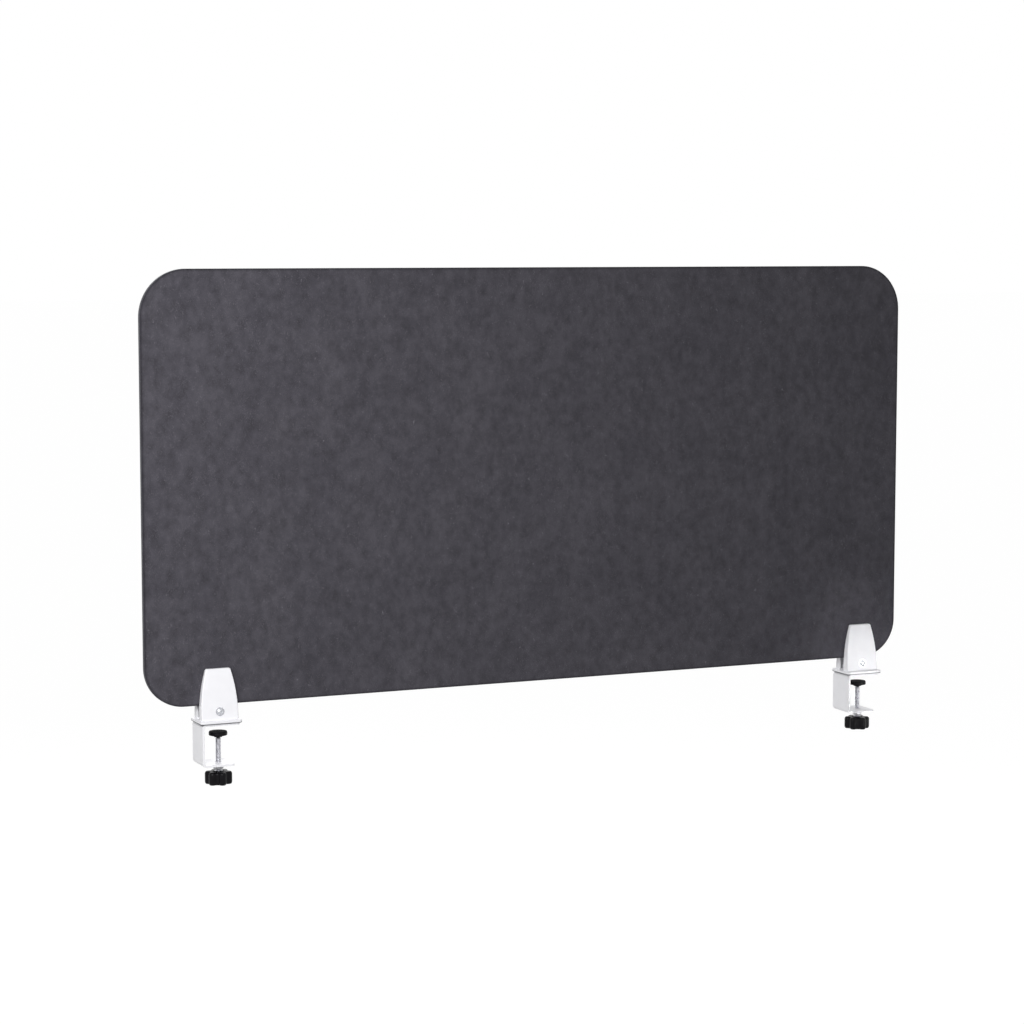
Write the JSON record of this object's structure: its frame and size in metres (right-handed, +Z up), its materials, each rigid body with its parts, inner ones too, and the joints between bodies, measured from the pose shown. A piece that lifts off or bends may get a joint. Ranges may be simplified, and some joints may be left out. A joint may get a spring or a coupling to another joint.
{
  "type": "desk divider screen",
  "caption": "Clamp-on desk divider: a rounded felt board gripped at its lower edge by tapered jaws on screw clamps with star knobs.",
  "frame": {"origin": "on the desk's top face, midway along the board and in the middle of its thickness", "axes": "+X along the board, +Y to the back, +Z up; the front with the bolt heads faces -Y"},
  "size_m": [1.2, 0.05, 0.712],
  "materials": {
    "felt": "pressed polyester felt, mottled charcoal",
    "white_paint": "white powder coat, satin",
    "grey_rubber": "matt grey rubber sheet",
    "zinc_steel": "bright zinc-plated steel",
    "black_plastic": "moulded black plastic, satin",
    "black_rubber": "matt black rubber"
  },
  "bodies": {
    "clamps": {"left_rear_jaw": "white_paint", "left_rear_grip_pad": "grey_rubber", "left_jaw_nut": "zinc_steel", "left_foot_gasket": "grey_rubber", "left_c_bracket": "white_paint", "left_bracket_screws": "zinc_steel", "left_spindle_nut": "white_paint", "right_rear_jaw": "white_paint", "right_rear_grip_pad": "grey_rubber", "right_jaw_nut": "zinc_steel", "right_foot_gasket": "grey_rubber", "right_c_bracket": "white_paint", "right_bracket_screws": "zinc_steel", "right_spindle_nut": "white_paint"},
    "board": {"felt_panel": "felt"},
    "left_front_jaw": {"left_front_jaw": "white_paint", "left_front_grip_pad": "grey_rubber"},
    "left_jaw_bolt": {"left_jaw_bolt": "zinc_steel", "left_jaw_bolt_washer": "zinc_steel"},
    "left_pad": {"left_swivel_pad": "black_plastic", "left_pad_facing": "black_rubber"},
    "left_screw": {"left_spindle": "zinc_steel", "left_knob": "black_plastic", "left_knob_insert": "zinc_steel"},
    "right_front_jaw": {"right_front_jaw": "white_paint", "right_front_grip_pad": "grey_rubber"},
    "right_jaw_bolt": {"right_jaw_bolt": "zinc_steel", "right_jaw_bolt_washer": "zinc_steel"},
    "right_pad": {"right_swivel_pad": "black_plastic", "right_pad_facing": "black_rubber"},
    "right_screw": {"right_spindle": "zinc_steel", "right_knob": "black_plastic", "right_knob_insert": "zinc_steel"}
  },
  "joints": [
    {"name": "board_lift", "type": "slide", "parent": "clamps", "child": "board", "axis": [0, 0, 1], "range_m": [0, 0.06]},
    {"name": "left_jaw_slide", "type": "slide", "parent": "clamps", "child": "left_front_jaw", "axis": [0, -1, 0], "range_m": [0, 0.004]},
    {"name": "left_bolt_turn", "type": "hinge", "parent": "left_front_jaw", "child": "left_jaw_bolt", "pos_m": [-0.497, -0.02, 0.019], "axis": [0, -1, 0], "range_deg": [0, 1440.1]},
    {"name": "left_pad_slide", "type": "slide", "parent": "clamps", "child": "left_pad", "axis": [0, 0, 1], "range_m": [-0.033, 0.002]},
    {"name": "left_screw_turn", "type": "hinge", "parent": "left_pad", "child": "left_screw", "pos_m": [-0.495, 0, -0.04], "axis": [0, 0, 1], "range_deg": [-9505, 577]},
    {"name": "right_jaw_slide", "type": "slide", "parent": "clamps", "child": "right_front_jaw", "axis": [0, -1, 0], "range_m": [0, 0.004]},
    {"name": "right_bolt_turn", "type": "hinge", "parent": "right_front_jaw", "child": "right_jaw_bolt", "pos_m": [0.536, -0.02, 0.019], "axis": [0, -1, 0], "range_deg": [0, 1440.1]},
    {"name": "right_pad_slide", "type": "slide", "parent": "clamps", "child": "right_pad", "axis": [0, 0, 1], "range_m": [-0.033, 0.002]},
    {"name": "right_screw_turn", "type": "hinge", "parent": "right_pad", "child": "right_screw", "pos_m": [0.538, 0, -0.04], "axis": [0, 0, 1], "range_deg": [-9505, 577]}
  ],
  "couplings": [
    {"joint": "left_bolt_turn", "follows": "left_jaw_slide", "rad_per_m": 6283.2},
    {"joint": "left_screw_turn", "follows": "left_pad_slide", "rad_per_m": 5026.5},
    {"joint": "right_bolt_turn", "follows": "right_jaw_slide", "rad_per_m": 6283.2},
    {"joint": "right_screw_turn", "follows": "right_pad_slide", "rad_per_m": 5026.5}
  ]
}
